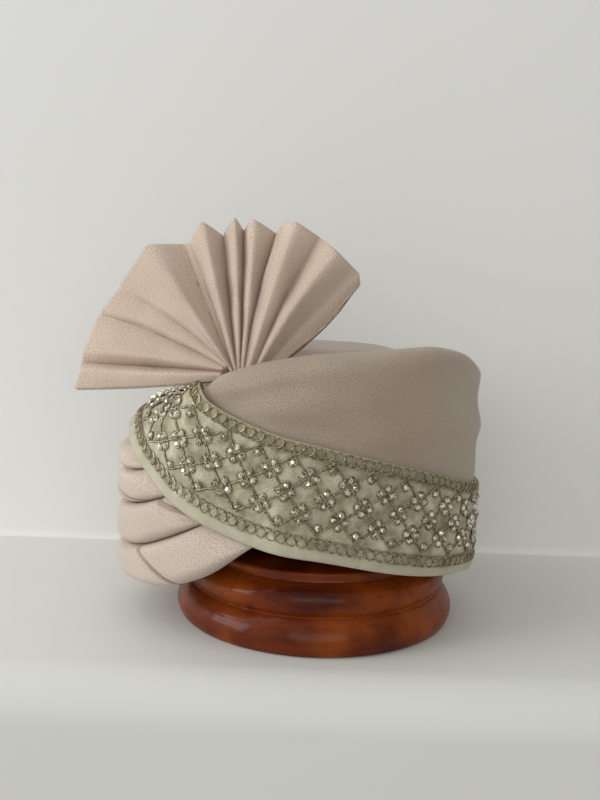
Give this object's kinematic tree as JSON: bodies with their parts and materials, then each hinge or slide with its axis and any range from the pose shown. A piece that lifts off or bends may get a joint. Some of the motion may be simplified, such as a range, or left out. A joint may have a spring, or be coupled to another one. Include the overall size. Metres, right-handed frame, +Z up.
{
  "type": "tied turban pagri on a turned wooden stand",
  "caption": "Ready-tied cloth turban with a standing fan of pleats, padded rolls at the brow and an embroidered band, seated on a plain turned wooden stand.",
  "frame": {"origin": "middle of the stand's flat foot, on the surface that it stands on", "axes": "+Z up along the stand's turned axis, -X towards the brow, +X towards the nape, -Y towards the side with the fan"},
  "size_m": [0.2632, 0.1998, 0.263],
  "materials": {
    "satin": "satin",
    "band_silk": "silk with metal thread",
    "mahogany": "gloss varnish",
    "metal_thread": "twisted antique silver cord",
    "stone": "clear cut stones in dark silver cups"
  },
  "bodies": {
    "root": {"crown_wrap": "satin", "crown_cap": "satin", "band": "band_silk", "roll_1": "satin", "roll_2_near": "satin", "roll_2_far": "satin", "roll_3_near": "satin", "roll_3_far": "satin", "roll_4_near": "satin", "roll_4_far": "satin", "fan": "satin", "stand": "mahogany"}
  },
  "joints": []
}
